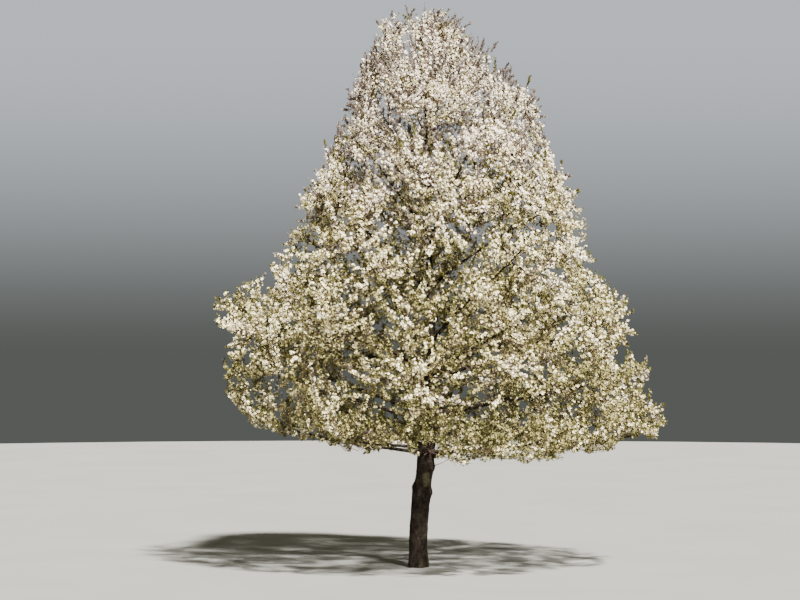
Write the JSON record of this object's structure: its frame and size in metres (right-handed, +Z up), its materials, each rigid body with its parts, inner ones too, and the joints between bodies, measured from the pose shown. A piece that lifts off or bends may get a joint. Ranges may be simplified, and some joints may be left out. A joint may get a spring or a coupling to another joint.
{
  "type": "cherry blossom tree",
  "caption": "Wild cherry in full white blossom: a straight dark trunk with a central leader, whorled limbs and a broad conical crown.",
  "frame": {"origin": "centre of the trunk's flat cut at ground level", "axes": "+Z up along the trunk, +X to the right when the tree is seen from its front, which faces -Y"},
  "size_m": [8.8478, 8.4469, 11.06],
  "materials": {
    "bark": "dark grey-brown bark, rough, with paler patches",
    "blossom": "matt white petals, warmer towards the top of the crown",
    "leaf": "young leaves, olive green in the lower crown and bronze at the top"
  },
  "bodies": {
    "root": {"trunk": "bark", "bough_1_1": "bark", "bough_1_2": "bark", "bough_1_3": "bark", "bough_1_4": "bark", "bough_1_5": "bark", "bough_1_6": "bark", "bough_2_1": "bark", "bough_2_2": "bark", "bough_2_3": "bark", "bough_2_4": "bark", "bough_2_5": "bark", "bough_2_6": "bark", "blossom_1_1": "blossom", "blossom_1_2": "blossom", "blossom_1_3": "blossom", "blossom_1_4": "blossom", "blossom_1_5": "blossom", "blossom_1_6": "blossom", "blossom_2_1": "blossom", "blossom_2_2": "blossom", "blossom_2_3": "blossom", "blossom_2_4": "blossom", "blossom_2_5": "blossom", "blossom_2_6": "blossom", "blossom_3_1": "blossom", "blossom_3_2": "blossom", "blossom_3_3": "blossom", "blossom_3_4": "blossom", "blossom_3_5": "blossom", "blossom_3_6": "blossom", "blossom_4_1": "blossom", "blossom_4_2": "blossom", "blossom_4_3": "blossom", "blossom_4_4": "blossom", "blossom_4_5": "blossom", "blossom_5_1": "blossom", "blossom_5_2": "blossom", "blossom_5_3": "blossom", "blossom_5_4": "blossom", "blossom_5_5": "blossom", "blossom_6_1": "blossom", "blossom_6_2": "blossom", "blossom_6_3": "blossom", "blossom_6_4": "blossom", "blossom_7_1": "blossom", "blossom_7_2": "blossom", "blossom_7_3": "blossom", "blossom_7_4": "blossom", "blossom_8_1": "blossom", "blossom_8_2": "blossom", "blossom_8_3": "blossom", "blossom_leader": "blossom"}
  },
  "joints": []
}
